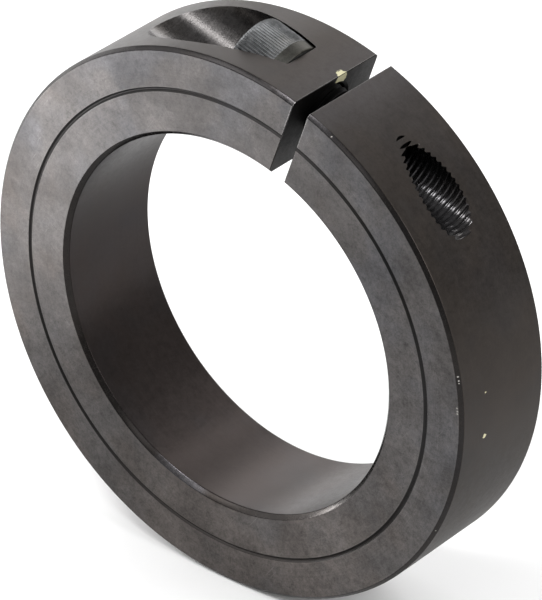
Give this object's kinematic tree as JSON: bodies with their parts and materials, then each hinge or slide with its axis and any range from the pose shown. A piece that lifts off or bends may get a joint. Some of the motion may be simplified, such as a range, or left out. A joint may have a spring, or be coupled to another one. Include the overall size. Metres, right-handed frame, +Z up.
{
  "type": "one-piece clamp shaft collar",
  "caption": "Slit steel ring that clamps round a shaft, drawn together by a knurled socket head cap screw sunk in a counterbore beside the slit.",
  "frame": {"origin": "on the bore's axis, midway between the two faces", "axes": "+Y along the bore, from the grooved front face to the plain back face; +Z up, with the collar standing on its edge and the slit 19.2 degrees from +Z towards +X; +X on the tapped side of the slit"},
  "size_m": [0.1016, 0.0222, 0.1042],
  "materials": {
    "collar_black_oxide": "satin",
    "screw_black_oxide": "satin"
  },
  "bodies": {
    "collar": {"collar_body": "collar_black_oxide"},
    "screw": {"clamp_screw": "screw_black_oxide"}
  },
  "joints": [
    {"name": "screw_turn", "type": "hinge", "parent": "collar", "child": "screw", "pos_m": [0.01281, 0, 0.04189], "axis": [0.9563, 0, -0.2924], "continuous": true}
  ]
}
